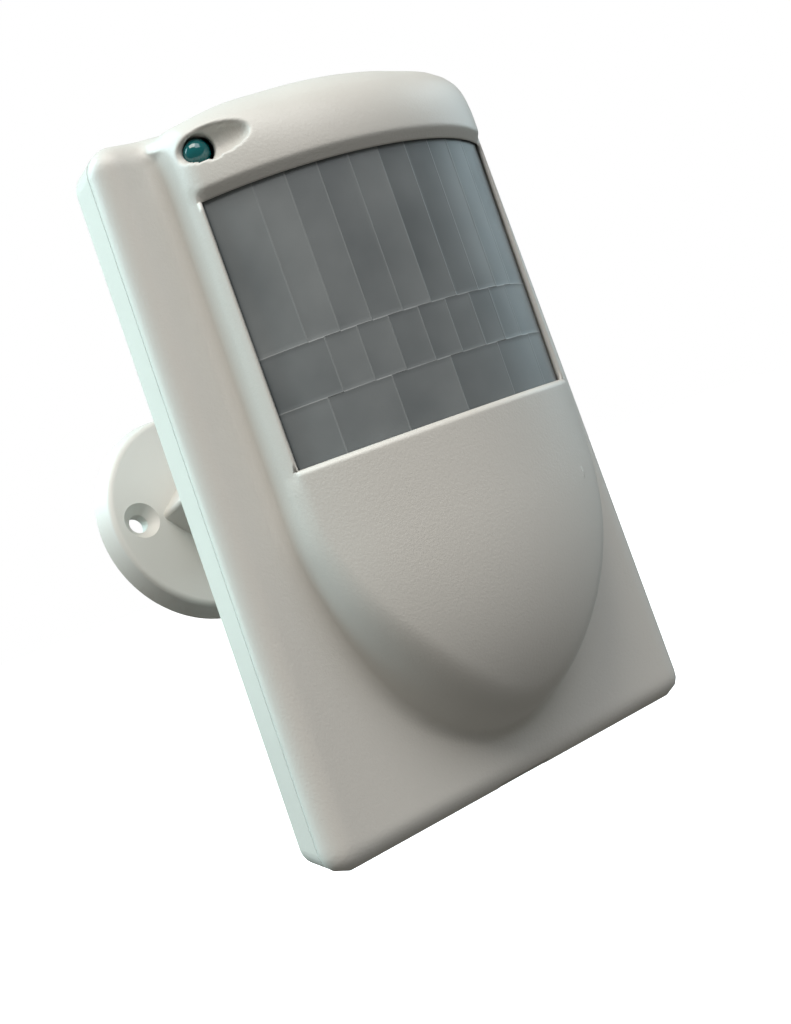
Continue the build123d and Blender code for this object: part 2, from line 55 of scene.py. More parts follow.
cover_low, cover_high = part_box("front_cover")
HALF_HEIGHT = (cover_high.z - cover_low.z) / 2 / MM
HALF_BOTTOM = 39.05          # half the width at the bottom edge
HALF_TOP = 36.15
CORNER = 4.1                 # corner radius of the outline
WALL = 2.0
SPLIT = -cover_high.y / MM   # depth of the parting line
FLANGE = 13.3                # depth of the flat face beside the window and the bulge
SHOULDER = 4.4               # rounding from that face to the housing's sides
TOP_SHOULDER = 0.3           # the same over the middle of the brow
LIP_INSET = 0.9              # rebate that fits over the rear cover
LIP_DEPTH = 1.6

AXIS_Y = 4.9                 # upright axis of the turned surfaces
DOME_R = 39.2
BLOCK_HALF = 27.6            # half the width of the raised block that holds the window
SIDE_TAPER = 0.012
WALL_BLEND = 2.2             # fillet between the block and the flange
EDGE_ROUND = 2.0             # rounding of the block's long edges
SKIRT_ROUND = 4.8            # more of it towards the bulge's lower end
RIM_DROP = 0.35              # how far the strips beside the window lie behind the dome

BROW_DEPTH = 14.0
BROW_START = 46.6
BROW_FULLNESS = 2.35         # exponent of the brow's rounding; 2 is an ellipse
SIDE_FULLNESS = 0.7          # added to it towards the brow's ends
BULGE_START = -10.0
BULGE_LENGTH = 46.0
BULGE_FULLNESS = 2.4
SKIRT_LENGTH = 54.7          # the side walls close in this far below the window
SKIRT_FLARE = 0.7
SKIRT_LEAN = 0.25

WINDOW_LOW = 2.6
WINDOW_HIGH = 44.9
WINDOW_HALF = 26.2
WINDOW_ANGLE = math.radians(43.2)
BROW_LIP = 1.6               # height of the slope under the brow
BROW_LIP_DROP = 1.15
LIP_ROUND = 1.0              # rounding of the edge under the window
LENS_R = 37.7
LENS_LOW = 1.0
LENS_HIGH = 48.1

LED_X = -23.6
LED_Z = 52.5
LED_HOLE = 2.3
SCOOP_SINK = 1.2             # depth of the recess's centre behind the dome
SCOOP_HALF = (5.8, 2.1, 2.5)
SCOOP_SHIFT = 1.5            # the recess runs further towards the middle than outward
SCOOP_WALL = 1.0             # plastic left behind the recess


# ------------------------------------------------------------------ rounded solids as distance fields

def smoothstep(low, high, value):
    """0 at low, 1 at high, eased; low may be the larger."""
    t = np.clip((value - low) / (high - low), 0, 1)
    return t * t * (3 - 2 * t)


def both(a, b, radius):
    """Intersection of two fields, with a rounded edge."""
    corner = np.hypot(np.maximum(radius + a, 0), np.maximum(radius + b, 0))
    return np.minimum(-radius, np.maximum(a, b)) + corner


def either(a, b, radius):
    """Union of two fields, with a filleted inner corner."""
    corner = np.hypot(np.maximum(radius - a, 0), np.maximum(radius - b, 0))
    return np.maximum(radius, np.minimum(a, b)) - corner


def half_width(z):
    """Half the housing's width at a height."""
    return HALF_BOTTOM + (HALF_TOP - HALF_BOTTOM) * (z + HALF_HEIGHT) / (2 * HALF_HEIGHT)


def outline_field(x, z, inset):
    """The tapered outline with round corners, moved inward by inset."""
    round_by = max(CORNER - inset, 0.8)
    dx = np.abs(x) - half_width(z) + inset + round_by
    dz = np.abs(z) - HALF_HEIGHT + inset + round_by
    outside = np.hypot(np.maximum(dx, 0), np.maximum(dz, 0))
    return outside + np.minimum(np.maximum(dx, dz), 0) - round_by


def lip_drop(distance):
    """How far a rounded lip falls back at a distance from its edge."""
    d = np.clip(LIP_ROUND - distance, 0, LIP_ROUND)
    return LIP_ROUND - np.sqrt(np.maximum(LIP_ROUND ** 2 - d ** 2, 0))


def brow_lip(height):
    """How far the brow's sloping underside falls back, from its lower edge upward."""
    slope = BROW_LIP_DROP * (1 - height / BROW_LIP)
    return (slope + np.sqrt(slope ** 2 + 0.03)) / 2


def side_wall(x, y, z, inset, zone):
    """Upright side walls; below the window they close in as half an ellipse and lean back."""
    if zone != "bulge":
        return np.abs(x) - BLOCK_HALF - SIDE_TAPER * (20 - z) + inset
    below = WINDOW_LOW - z
    flare = SKIRT_FLARE * smoothstep(0.0, 14.0, below)
    wide = BLOCK_HALF + SIDE_TAPER * (20 - WINDOW_LOW) + flare - inset
    long = SKIRT_LENGTH - inset
    near = np.hypot(x / wide, below / long)
    slope = np.hypot(x / wide ** 2, below / long ** 2)
    outside = (near - 1) * near / np.maximum(slope, 1e-6)
    lean = SKIRT_LEAN * smoothstep(20.0, 52.0, below)
    return (outside + (-y - FLANGE) * lean) / np.sqrt(1 + lean ** 2)


def dome_field(x, y, z, shrink, zone):
    """The turned surface of the brow, window rim and bulge."""
    radial = np.hypot(x, y - AXIS_Y)
    if zone == "window":
        return radial - (DOME_R - RIM_DROP - shrink)
    radius = DOME_R - shrink
    brow_height = HALF_HEIGHT - BROW_START - shrink
    brow_radial = BROW_DEPTH - shrink / 2
    crown = radius - brow_radial
    over = np.maximum(z - BROW_START, 0)
    full = BROW_FULLNESS + SIDE_FULLNESS * smoothstep(10.0, 26.0, np.abs(x))
    rounded = (np.maximum(radial - crown, 0) / brow_radial) ** full + (over / brow_height) ** full
    brow = (rounded ** (1 / full) - 1) * brow_radial
    brow = np.where(radial < crown, np.maximum(radial - radius, over - brow_height - 3), brow)
    under = np.maximum(BULGE_START - z, 0)
    bulge_length = BULGE_LENGTH - shrink
    rounded = (radial / radius) ** BULGE_FULLNESS + (under / bulge_length) ** BULGE_FULLNESS
    bulge = (rounded ** (1 / BULGE_FULLNESS) - 1) * radius
    field = np.where(z > BROW_START, brow, np.where(z < BULGE_START, bulge, radial - radius))
    if shrink == 0:
        height = z - WINDOW_HIGH if zone == "brow" else WINDOW_LOW - z
        lip = brow_lip(height) if zone == "brow" else lip_drop(height)
        angle = np.arctan2(np.abs(x), AXIS_Y - y)
        beside = smoothstep(WINDOW_ANGLE - 0.004, WINDOW_ANGLE + 0.014, angle)
        field = field + lip + (RIM_DROP * smoothstep(3.0, 0.0, height) - lip) * beside
    return field


def scoop_field(x, y, z):
    """The almond-shaped recess round the indicator."""
    radius = DOME_R - SCOOP_SINK
    angle = math.asin(-LED_X / radius)
    along = (math.cos(angle), -math.sin(angle))
    cx = LED_X + along[0] * SCOOP_SHIFT
    cy = AXIS_Y - radius * math.cos(angle) + along[1] * SCOOP_SHIFT
    a = (x - cx) * along[0] + (y - cy) * along[1]
    b = -(x - cx) * along[1] + (y - cy) * along[0]
    c = z - LED_Z
    la, lb, lc = SCOOP_HALF
    return (np.sqrt((a / la) ** 2 + (b / lb) ** 2 + (c / lc) ** 2) - 1) * lc


def edge_rounding(z):
    """Rounding of the block's long edges, which grows down the bulge."""
    return EDGE_ROUND + SKIRT_ROUND * smoothstep(7.0, 44.0, WINDOW_LOW - z)


def outer_field(x, y, z, zone):
    """The cover's outer surface. Zone is brow, window or bulge."""
    sides = outline_field(x, z, 0)
    flange = -y - FLANGE
    block = both(dome_field(x, y, z, 0, zone), side_wall(x, y, z, 0, zone), edge_rounding(z))
    face = either(block, flange, WALL_BLEND)
    outward = np.abs(x) + 60 * (z < 40)  # below the brow it is past the blend at every x
    shoulder = TOP_SHOULDER + (SHOULDER - TOP_SHOULDER) * smoothstep(12.0, 27.0, outward)
    body = both(sides, face, shoulder)
    if zone == "brow":
        body = both(body, -scoop_field(x, y, z), 0.35)
    return body


def inner_field(x, y, z, zone):
    """The hollow inside the cover, with a pocket for the lens and the rebate at the parting line."""
    sides = outline_field(x, z, WALL)
    flange = -y - (FLANGE - WALL)
    pocket = (z > LENS_LOW) & (z < LENS_HIGH)
    plain = dome_field(x, y, z, WALL, "brow")
    hollow = np.hypot(x, y - AXIS_Y) - (LENS_R + 0.2)
    dome = np.where(pocket, hollow, plain)
    walls = side_wall(x, y, z, WALL, zone)
    block = both(dome, np.where(pocket, np.abs(x) - WINDOW_HALF, walls), edge_rounding(z) - 1.7)
    face = either(block, flange, 0.8)
    hollow_body = both(sides, face, 0.5)
    if zone == "brow":
        hollow_body = both(hollow_body, SCOOP_WALL - scoop_field(x, y, z), 0.2)
    rebate = np.maximum(outline_field(x, z, LIP_INSET), -y - (SPLIT + LIP_DEPTH))
    return np.minimum(hollow_body, rebate)


def shoot(field, start, direction, reach, zone):
    """Where rays that start inside a field leave it, by halving the interval."""
    low = np.zeros(len(start))
    high = np.full(len(start), float(reach))
    for _ in range(34):
        middle = (low + high) / 2
        p = start + direction * middle[:, None]
        inside = field(p[:, 0], p[:, 1], p[:, 2], zone) < 0
        low = np.where(inside, middle, low)
        high = np.where(inside, high, middle)
    return start + direction * ((low + high) / 2)[:, None]


# ------------------------------------------------------------------ helpers for meshes

def new_object(name, vertices, faces, scale=MM):
    """A mesh object; its vertices are in millimetres unless a scale says otherwise."""
    mesh = bpy.data.meshes.new(name)
    mesh.from_pydata([tuple(c * scale for c in v) for v in vertices], [], faces)
    mesh.update()
    obj = bpy.data.objects.new(name, mesh)
    bpy.context.scene.collection.objects.link(obj)
    return obj


MERGE = 0.003                # points closer than this, in millimetres, are one


def shade_smooth(obj):
    for polygon in obj.data.polygons:
        polygon.use_smooth = True


def tidy_mesh(obj):
    """Merges doubled points, turns every face outward and shades the piece smooth."""
    bm = bmesh.new()
    bm.from_mesh(obj.data)
    bmesh.ops.remove_doubles(bm, verts=bm.verts, dist=MERGE * MM)
    bmesh.ops.dissolve_degenerate(bm, edges=bm.edges, dist=MERGE * MM)
    bmesh.ops.recalc_face_normals(bm, faces=bm.faces)
    bm.to_mesh(obj.data)
    bm.free()
    shade_smooth(obj)


def soften(obj, low, high, times):
    """Evens out the surface inside a box, where two parts of a mesh meet."""
    bm = bmesh.new()
    bm.from_mesh(obj.data)
    inside = [v for v in bm.verts if all(a * MM < c < b * MM for a, c, b in zip(low, v.co, high))]
    for _ in range(times):
        bmesh.ops.smooth_vert(
            bm, verts=inside, factor=0.5, use_axis_x=True, use_axis_y=True, use_axis_z=True)
    bm.to_mesh(obj.data)
    bm.free()


def rod(name, centre, radius, span, sides=64):
    """A round bar along Y."""
    vertices = []
    for y in span:
        for k in range(sides):
            turn = 2 * math.pi * k / sides
            x = centre[0] + radius * math.cos(turn)
            z = centre[1] + radius * math.sin(turn)
            vertices.append((x, y, z))
    faces = [(k, (k + 1) % sides, sides + (k + 1) % sides, sides + k) for k in range(sides)]
    faces += [tuple(range(sides - 1, -1, -1)), tuple(range(sides, 2 * sides))]
    obj = new_object(name, vertices, faces)
    tidy_mesh(obj)
    return obj


def block_between(name, low, high):
    """A box between two opposite corners."""
    xs, ys, zs = zip(low, high)
    vertices = [(x, y, z) for x in xs for y in ys for z in zs]
    faces = [(0, 1, 3, 2), (4, 6, 7, 5), (0, 4, 5, 1), (2, 3, 7, 6), (0, 2, 6, 4), (1, 5, 7, 3)]
    obj = new_object(name, vertices, faces)
    tidy_mesh(obj)
    return obj


def join(obj, tool, operation):
    """Cuts a helper solid out of a piece, or adds it, and drops the helper."""
    modifier = obj.modifiers.new(tool.name, "BOOLEAN")
    modifier.operation = operation
    modifier.solver = "MANIFOLD"
    modifier.object = tool
    bpy.context.view_layer.update()
    evaluated = obj.evaluated_get(bpy.context.evaluated_depsgraph_get())
    result = bpy.data.meshes.new_from_object(evaluated)
    obj.modifiers.clear()
    obj.data = result
    bpy.data.objects.remove(tool)
    shade_smooth(obj)


# ------------------------------------------------------------------ front cover
# Two skins, outer and inner. Each is a middle grid of rays shot outward from the turned surfaces'
# axis, and a ring of rays from the grid's edge to the parting line.

BROW_ENDS = (
    ((26.6, -60.0, 55.0), (31.5, -9.5, 59.4)),
    ((-31.5, -60.0, 55.0), (-26.6, -9.5, 59.4)),
)                            # boxes in which the brow's ends meet the flange
LATCH_NOTCH = ((-5.3, -11.9, -61.2), (5.3, -6.7, -56.8))
TAMPER_POST = (18.0, -13.0)  # x and z of the post that presses the tamper switch
TAMPER_POST_RADIUS = 1.6
TAMPER_POST_SPAN = (-29.2, -17.3)

GRID_BOTTOM = -52.0
GRID_TOP = 55.5
GRID_INSET = 8.0             # from the outline's sides
FAN_REACH = 8.0              # stretch beside a corner over which the ring fans out
IN_WINDOW = 1.0001           # column places up to here lie over the window
RING_ANGLES = (
    86, 82, 78, 74, 69, 64, 59, 54, 49, 44, 39, 34, 30, 26, 22, 18, 15.5, 13.5, 11, 8, 4, 0,
)                            # degrees from level; the steps are finest where the shoulder turns

def steps(stops):
    """Ascending values through (stop, spacing) pairs, the spacing holding up to the next stop."""
    values = [stops[0][0]]
    for (start, gap), (end, _) in zip(stops, stops[1:]):
        count = max(1, round((end - start) / gap))
        values += [start + (end - start) * (i + 1) / count for i in range(count)]
    return values


def cover_rows():
    """Heights of the grid's rows, each with its zone; two zones meet in two rows at one height."""
    zones = {
        "bulge": steps([
            (GRID_BOTTOM, 0.55),
            (-46.0, 0.9),
            (WINDOW_LOW - 2.0, 0.5),
            (WINDOW_LOW - LIP_ROUND, 0.1),
            (WINDOW_LOW, 1),
        ]),
        "window": steps([(WINDOW_LOW, 1.4), (WINDOW_HIGH, 1)]),
        "brow": steps([(WINDOW_HIGH, 0.2), (WINDOW_HIGH + BROW_LIP + 0.8, 0.34), (GRID_TOP, 1)]),
    }
    return [(z, zone) for zone, heights in zones.items() for z in heights]


def cover_columns():
    """Column places: -1 to 1 spans the window, and 1 to 2 the rim, side wall and flange beyond it."""
    degrees = math.degrees(WINDOW_ANGLE)
    middle = [v / degrees for v in steps([(-degrees, 0.45), (-24.0, 0.9), (degrees, 1)])]
    side = steps([(1.0, 0.04), (1.9, 0.05), (2.0, 1)])
    return [-v for v in reversed(side[1:])] + middle + side[1:]


def ring_direction(x, z, on_side):
    """The way outward in plan from the middle grid's edge: it fans out towards the corners."""
    if on_side:
        top = np.clip((z - (GRID_TOP - FAN_REACH)) / FAN_REACH, 0, 1)
        bottom = np.clip((GRID_BOTTOM + FAN_REACH - z) / FAN_REACH, 0, 1)
        angle = math.radians(45) * (top ** 2 - bottom ** 2)
        return math.copysign(math.cos(angle), x), math.sin(angle)
    limit = half_width(z) - GRID_INSET
    near = np.clip((abs(x) - (limit - FAN_REACH)) / FAN_REACH, 0, 1)
    angle = math.radians(45) * near ** 2
    return math.copysign(math.sin(angle), x), math.copysign(math.cos(angle), z)


def cover_skin(field):
    """The middle grid's rows, columns and points on one surface."""
    rows = cover_rows()
    columns = cover_columns()
    grid = np.zeros((len(rows), len(columns), 3))
    for r, (z, zone) in enumerate(rows):
        edge_x = half_width(z) - GRID_INSET
        start = np.array([[edge_x, -SPLIT, z]])
        hit = shoot(field, start, np.array([[0.0, -1.0, 0.0]]), 60, zone)[0]
        edge_angle = math.atan2(edge_x, AXIS_Y - hit[1])
        angles = []
        for u in columns:
            if abs(u) <= 1:
                angles.append(u * WINDOW_ANGLE)
            else:
                beyond = WINDOW_ANGLE + (abs(u) - 1) * (edge_angle - WINDOW_ANGLE)
                angles.append(math.copysign(beyond, u))
        angles = np.array(angles)
        direction = np.stack([np.sin(angles), -np.cos(angles), np.zeros(len(angles))], 1)
        origin = np.tile([0.0, AXIS_Y, z], (len(angles), 1))
        grid[r] = shoot(field, origin, direction, 90, zone)
    return rows, columns, grid


def border_cells(rows, columns):
    """The middle grid's edge, anticlockwise from its lowest left corner: row, column, on_side."""
    last_row, last_column = len(rows) - 1, len(columns) - 1
    cells = [(0, c, False) for c in range(0, last_column)]
    cells += [(r, last_column, True) for r in range(0, last_row)]
    cells += [(last_row, c, False) for c in range(last_column, 0, -1)]
    cells += [(r, 0, True) for r in range(last_row, 0, -1)]
    return cells


def cover_ring(field, rows, grid, border):
    """The ring's points, a row of them at each angle."""
    turn = np.radians(np.array(RING_ANGLES, float))
    ring = np.zeros((len(turn), len(border), 3))
    for i, (r, c, on_side) in enumerate(border):
        x, _, z = grid[r, c]
        ox, oz = ring_direction(x, z, on_side)
        direction = np.stack([ox * np.cos(turn), -np.sin(turn), oz * np.cos(turn)], 1)
        start = np.tile([x, -SPLIT, z], (len(turn), 1))
        ring[:, i] = shoot(field, start, direction, 60, rows[r][1])
    return ring


def skin_faces(rows, columns, border, base, ring_base):
    """Faces of one skin; the grid stays open at the window and between zones across it."""
    faces = []
    width = len(columns)
    over_window = [abs(a) <= IN_WINDOW and abs(b) <= IN_WINDOW for a, b in zip(columns, columns[1:])]
    for r in range(len(rows) - 1):
        zones = rows[r][1], rows[r + 1][1]
        open_row = zones[0] != zones[1] or zones[0] == "window"
        for c in range(width - 1):
            if open_row and over_window[c]:
                continue
            a = base + r * width + c
            faces.append((a, a + 1, a + width + 1, a + width))
    count = len(border)
    upper = [base + r * width + c for r, c, _ in border]
    for k in range(len(RING_ANGLES)):
        lower = [ring_base + k * count + i for i in range(count)]
        for i in range(count):
            j = (i + 1) % count
            faces.append((upper[i], lower[i], lower[j], upper[j]))
        upper = lower
    return faces


def window_loop(rows, columns):
    """Grid places round the opening, anticlockwise from its lowest left corner."""
    inside = [c for c, u in enumerate(columns) if abs(u) <= IN_WINDOW]
    first, last = inside[0], inside[-1]
    low = max(r for r, (_, zone) in enumerate(rows) if zone == "bulge")
    high = min(r for r, (_, zone) in enumerate(rows) if zone == "brow")
    loop = [(low, c) for c in range(first, last)]
    loop += [(r, last) for r in range(low, high)]
    loop += [(high, c) for c in range(last, first, -1)]
    loop += [(r, first) for r in range(high, low, -1)]
    return [r * len(columns) + c for r, c in loop]


def build_cover():
    """Both skins, joined round the parting line and the window, then cut and added to."""
    vertices, faces = [], []
    grid_starts, ring_starts = [], []
    for field in (outer_field, inner_field):
        rows, columns, grid = cover_skin(field)
        border = border_cells(rows, columns)
        ring = cover_ring(field, rows, grid, border)
        grid_starts.append(len(vertices))
        vertices += [tuple(v) for v in grid.reshape(-1, 3)]
        ring_starts.append(len(vertices))
        vertices += [tuple(v) for v in ring.reshape(-1, 3)]
        faces += skin_faces(rows, columns, border, grid_starts[-1], ring_starts[-1])
    count = len(border)
    outer, inner = (start + (len(RING_ANGLES) - 1) * count for start in ring_starts)
    for i in range(count):
        j = (i + 1) % count
        faces.append((outer + i, outer + j, inner + j, inner + i))
    loop = window_loop(rows, columns)
    outer, inner = grid_starts
    for a, b in zip(loop, loop[1:] + loop[:1]):
        faces.append((outer + a, outer + b, inner + b, inner + a))
    obj = new_object("front_cover_shell", vertices, faces)
    tidy_mesh(obj)
    for low, high in BROW_ENDS:
        soften(obj, low, high, 10)
    join(obj, block_between("latch_notch", *LATCH_NOTCH), "DIFFERENCE")
    join(obj, rod("indicator_hole", (LED_X, LED_Z), LED_HOLE, (-40.0, -8.0)), "DIFFERENCE")
    join(obj, rod("tamper_post", TAMPER_POST, TAMPER_POST_RADIUS, TAMPER_POST_SPAN), "UNION")
    return obj


# ------------------------------------------------------------------ node materials

def new_material(name):
    """A node material, its parts, and texture places in the object's own space."""
    material = bpy.data.materials.new(name)
    material.use_nodes = True
    nodes, links = material.node_tree.nodes, material.node_tree.links
    shader = nodes["Principled BSDF"]
    place = nodes.new("ShaderNodeTexCoord")
    return material, nodes, links, shader, place.outputs["Object"]


def noise(nodes, links, place, scale, detail=3.0, roughness=0.5):
    node = nodes.new("ShaderNodeTexNoise")
    node.inputs["Scale"].default_value = scale
    node.inputs["Detail"].default_value = detail
    node.inputs["Roughness"].default_value = roughness
    links.new(place, node.inputs["Vector"])
    return node.outputs["Fac"]


def spread(nodes, links, value, low, high):
    """Maps 0..1 to low..high."""
    node = nodes.new("ShaderNodeMapRange")
    node.inputs["To Min"].default_value = low
    node.inputs["To Max"].default_value = high
    links.new(value, node.inputs["Value"])
    return node.outputs["Result"]


def blend_color(nodes, links, value, first, second):
    node = nodes.new("ShaderNodeMix")
    node.data_type = "RGBA"
    node.inputs[6].default_value = (*first, 1)
    node.inputs[7].default_value = (*second, 1)
    links.new(value, node.inputs[0])
    return node.outputs[2]


def bump(nodes, links, height, distance, strength, below=None):
    node = nodes.new("ShaderNodeBump")
    node.inputs["Distance"].default_value = distance
    node.inputs["Strength"].default_value = strength
    links.new(height, node.inputs["Height"])
    if below is not None:
        links.new(below, node.inputs["Normal"])
    return node.outputs["Normal"]


def moulded_plastic(name, color, shade, roughness, grain=0.35, depth=0.02, strength=0.35):
    """Moulded plastic: a colour that drifts a little over a fine grain, whose size and depth are in mm."""
    material, nodes, links, shader, place = new_material(name)
    drift = noise(nodes, links, place, 22.0, 2.0)
    tone = blend_color(nodes, links, drift, color, shade)
    links.new(tone, shader.inputs["Base Color"])
    texture = noise(nodes, links, place, 1 / (grain * MM), 2.0, 0.6)
    gloss = noise(nodes, links, place, 160.0, 3.0)
    links.new(spread(nodes, links, gloss, roughness - 0.05, roughness + 0.07), shader.inputs["Roughness"])
    wave = noise(nodes, links, place, 60.0, 2.0)
    soft = bump(nodes, links, wave, 0.0002, 0.12)
    links.new(bump(nodes, links, texture, depth * MM, strength, soft), shader.inputs["Normal"])
    shader.inputs["IOR"].default_value = 1.48
    return material


METAL_GRAIN = 1.2            # millimetres


def metal(name, color, roughness):
    """Plated or drawn metal, slightly worn."""
    material, nodes, links, shader, place = new_material(name)
    worn = noise(nodes, links, place, 700.0, 4.0)
    dull = tuple(c * 0.82 for c in color)
    links.new(blend_color(nodes, links, worn, color, dull), shader.inputs["Base Color"])
    links.new(spread(nodes, links, worn, roughness - 0.06, roughness + 0.1), shader.inputs["Roughness"])
    grain = noise(nodes, links, place, 1 / (METAL_GRAIN * MM), 3.0)
    links.new(bump(nodes, links, grain, 0.00002, 0.3), shader.inputs["Normal"])
    shader.inputs["Metallic"].default_value = 1.0
    return material


def lens_film(name):
    """Grey film: each segment's tone is in the mesh, as painted shade and painted highlights, with faint
    cloudiness over it.
    """
    material, nodes, links, shader, place = new_material(name)
    attribute = nodes.new("ShaderNodeAttribute")
    attribute.attribute_name = "painted_segment_shading"
    cloud = noise(nodes, links, place, 75.0, 3.0, 0.45)
    add = nodes.new("ShaderNodeMath")
    add.operation = "MULTIPLY_ADD"
    links.new(cloud, add.inputs[0])
    add.inputs[1].default_value = 1.0
    links.new(attribute.outputs["Fac"], add.inputs[2])
    # the painted shade and painted highlights in the mesh's tones move the colour between this dark grey and
    # this light grey
    tone = blend_color(nodes, links, add.outputs[0], (0.088, 0.104, 0.112), (0.240, 0.262, 0.268))
    links.new(tone, shader.inputs["Base Color"])
    gloss = noise(nodes, links, place, 300.0, 2.0)
    links.new(spread(nodes, links, gloss, 0.40, 0.52), shader.inputs["Roughness"])
    grain = noise(nodes, links, place, 2500.0, 2.0)
    links.new(bump(nodes, links, grain, 0.00001, 0.25), shader.inputs["Normal"])
    shader.inputs["IOR"].default_value = 1.5
    shader.inputs["Coat Weight"].default_value = 0.04
    shader.inputs["Coat Roughness"].default_value = 0.18
    return material


def clear_dome(name, deep, light):
    """Tinted clear plastic whose tint drifts in patches between a deep and a light shade."""
    material, nodes, links, shader, place = new_material(name)
    depth = noise(nodes, links, place, 260.0, 2.0)
    links.new(blend_color(nodes, links, depth, deep, light), shader.inputs["Base Color"])
    links.new(spread(nodes, links, depth, 0.03, 0.09), shader.inputs["Roughness"])
    links.new(bump(nodes, links, depth, 0.00003, 0.1), shader.inputs["Normal"])
    shader.inputs["Coat Weight"].default_value = 0.8
    shader.inputs["Coat Roughness"].default_value = 0.03
    return material


def board_laminate(name):
    """Green solder resist over copper tracks that run up and across."""
    material, nodes, links, shader, place = new_material(name)
    tracks = nodes.new("ShaderNodeTexBrick")
    tracks.inputs["Scale"].default_value = 300.0
    tracks.inputs["Mortar Size"].default_value = 0.035
    tracks.inputs["Color1"].default_value = (0.012, 0.085, 0.030, 1)
    tracks.inputs["Color2"].default_value = (0.016, 0.105, 0.038, 1)
    tracks.inputs["Mortar"].default_value = (0.035, 0.190, 0.070, 1)
    turn = nodes.new("ShaderNodeMapping")
    turn.inputs["Rotation"].default_value = (math.radians(90), 0, 0)
    links.new(place, turn.inputs["Vector"])
    links.new(turn.outputs["Vector"], tracks.inputs["Vector"])
    links.new(tracks.outputs["Color"], shader.inputs["Base Color"])
    gloss = noise(nodes, links, place, 500.0)
    links.new(spread(nodes, links, gloss, 0.22, 0.36), shader.inputs["Roughness"])
    links.new(bump(nodes, links, tracks.outputs["Fac"], 0.00003, 0.6), shader.inputs["Normal"])
    return material


PLASTICS = {
    "housing_plastic": ((0.67, 0.662, 0.622), (0.635, 0.63, 0.595), 0.40, 0.45, 0.06, 0.7),
    "bracket_plastic": ((0.67, 0.665, 0.63), (0.63, 0.625, 0.59), 0.45, 0.45),
    "ball_plastic": ((0.68, 0.67, 0.62), (0.64, 0.63, 0.58), 0.28, 0.8, 0.01),
    "pad_rubber": ((0.018, 0.018, 0.018), (0.03, 0.03, 0.03), 0.75, 0.6, 0.03),
    "frame_plastic": ((0.03, 0.03, 0.032), (0.045, 0.045, 0.047), 0.55),
    "relay_case": ((0.62, 0.58, 0.46), (0.56, 0.52, 0.41), 0.4),
    "chip_epoxy": ((0.018, 0.018, 0.020), (0.028, 0.028, 0.030), 0.6, 0.2),
    "jumper_plastic": ((0.50, 0.03, 0.02), (0.42, 0.025, 0.018), 0.35),
    "terminal_plastic": ((0.03, 0.17, 0.06), (0.025, 0.14, 0.05), 0.4),
    "plunger_plastic": ((0.70, 0.69, 0.64), (0.64, 0.63, 0.58), 0.35),
    "resistor_ceramic": ((0.02, 0.02, 0.025), (0.10, 0.10, 0.10), 0.4, 1.2),
}
METALS = {
    "zinc_steel": ((0.62, 0.62, 0.60), 0.32),
    "sensor_can": ((0.66, 0.63, 0.56), 0.22),
    "capacitor_can": ((0.72, 0.72, 0.72), 0.28),
    "pin_brass": ((0.70, 0.52, 0.22), 0.3),
}
TINTED = {
    "indicator_plastic": ((0.0, 0.085, 0.095), (0.0, 0.16, 0.17)),
    "led_epoxy": ((0.30, 0.02, 0.012), (0.55, 0.05, 0.03)),
    "infrared_filter": ((0.008, 0.006, 0.010), (0.02, 0.014, 0.022)),
}
MATERIALS = {name: moulded_plastic(name, *look) for name, look in PLASTICS.items()}
MATERIALS |= {name: metal(name, *look) for name, look in METALS.items()}
MATERIALS |= {name: clear_dome(name, *look) for name, look in TINTED.items()}
MATERIALS["board_laminate"] = board_laminate("board_laminate")
MATERIALS["lens_film"] = lens_film("lens_film")
SLOT_OF = {row["node"]: row["material_slot"] for row in frame["record"]["subparts"]}


def dress(obj, slot):
    obj.data.materials.clear()
    obj.data.materials.append(MATERIALS[slot])


# ------------------------------------------------------------------ lens

SEGMENT_ARC = 5.13           # width of a segment along the film, in millimetres
ROW_TOPS = (11.42, 20.09)    # heights of the lines between the rows
FILM_FACE = 0.12             # depth of the segments' mean surface behind the lens radius
FILM_BACK = 0.6
RIDGE_HALF = 0.16
RIDGE_HEIGHT = 0.04
SAWTOOTH = 0.05
BASE_TONE = -0.07
SEGMENT_SHADE_SPREAD = 0.16           # how much one segment's painted shade differs from another's, for the light each facet catches
PAINTED_SHADE_RISE = 0.22             # painted shading, darker at a segment's left edge and lighter at its right
# painted highlight along the raised lines between the segments
LINE_HIGHLIGHT = 0.85
BACK_TONE = 0.2
RIDGE_PLACES = (-RIDGE_HALF, -RIDGE_HALF / 2, 0, RIDGE_HALF / 2, RIDGE_HALF)
ROW_PLACES = (-RIDGE_HALF, -RIDGE_HALF / 2, -0.01, 0.01, RIDGE_HALF / 2, RIDGE_HALF)


def segment_row(z):
    """0 for the tall top row, 1 for the middle row and 2 for the lowest."""
    return 0 if z > ROW_TOPS[1] else 1 if z > ROW_TOPS[0] else 2


def segment_edges(z):
    """Arc places of the lines between segments, at a height."""
    row = segment_row(z)
    if row == 0:
        return [k * SEGMENT_ARC for k in range(-4, 5)]
    if row == 1:
        return [(k + 0.5) * SEGMENT_ARC for k in range(-4, 4)]
    return [k * SEGMENT_ARC for k in (-4, -2, 0, 2, 4)]


def film_point(arc, radius, z):
    angle = arc / LENS_R
    return radius * math.sin(angle), AXIS_Y - radius * math.cos(angle), z


def film_grid(limit):
    """Arc places and heights of the film's points, closer together at the lines."""
    arcs = {round(v, 3) for v in np.linspace(-limit, limit, 121)}
    for z in (0, 15, 30):
        arcs |= {round(edge + offset, 3) for edge in segment_edges(z) for offset in RIDGE_PLACES}
    heights = {round(v, 3) for v in np.linspace(LENS_LOW, LENS_HIGH - 0.1, 60)}
    heights |= {round(top + offset, 3) for top in ROW_TOPS for offset in ROW_PLACES}
    return np.array(sorted(arcs)), np.array(sorted(heights))


